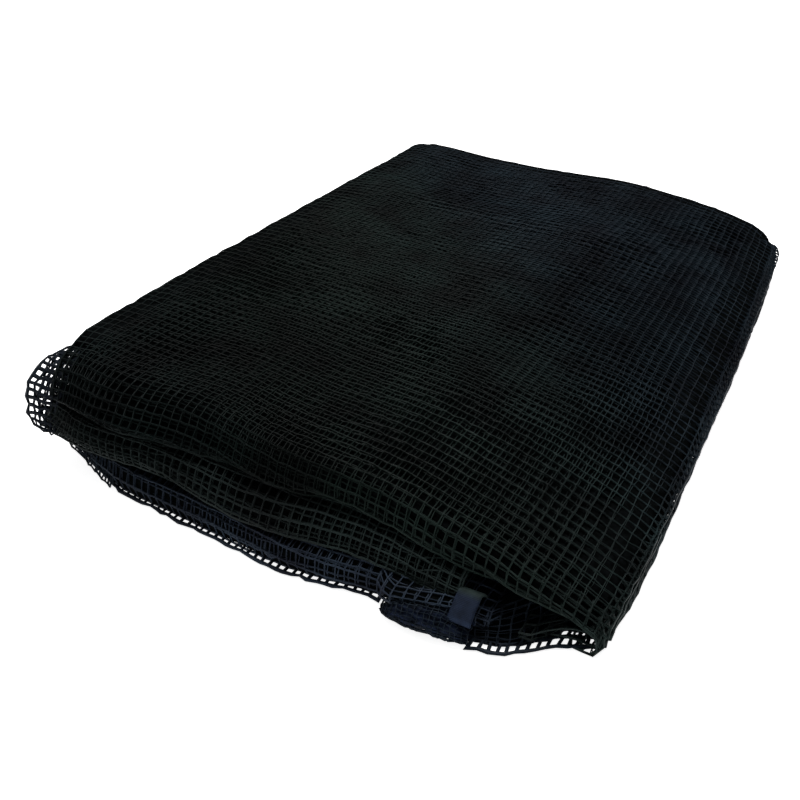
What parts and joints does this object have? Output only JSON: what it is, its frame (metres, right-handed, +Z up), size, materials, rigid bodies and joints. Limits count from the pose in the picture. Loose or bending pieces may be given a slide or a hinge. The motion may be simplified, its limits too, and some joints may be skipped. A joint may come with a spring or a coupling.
{
  "type": "folded trampoline safety net",
  "caption": "Black knitted safety net for a trampoline, folded into a flat pack with rounded folds along its front, a webbing strap end and a length of border tape.",
  "frame": {"origin": "on the floor under the middle of the pack's bounding box", "axes": "+X along the front edge with the fold lips, +Y from the front to the back, +Z up"},
  "size_m": [0.5918, 0.859, 0.1077],
  "materials": {
    "black_net": "knitted black polyethylene yarn with a slight sheen",
    "webbing": "matt grey-blue woven webbing",
    "woven_tape": "matt close-woven dark tape"
  },
  "bodies": {
    "root": {"net": "black_net", "webbing_tab": "webbing", "border_tape": "woven_tape"}
  },
  "joints": []
}
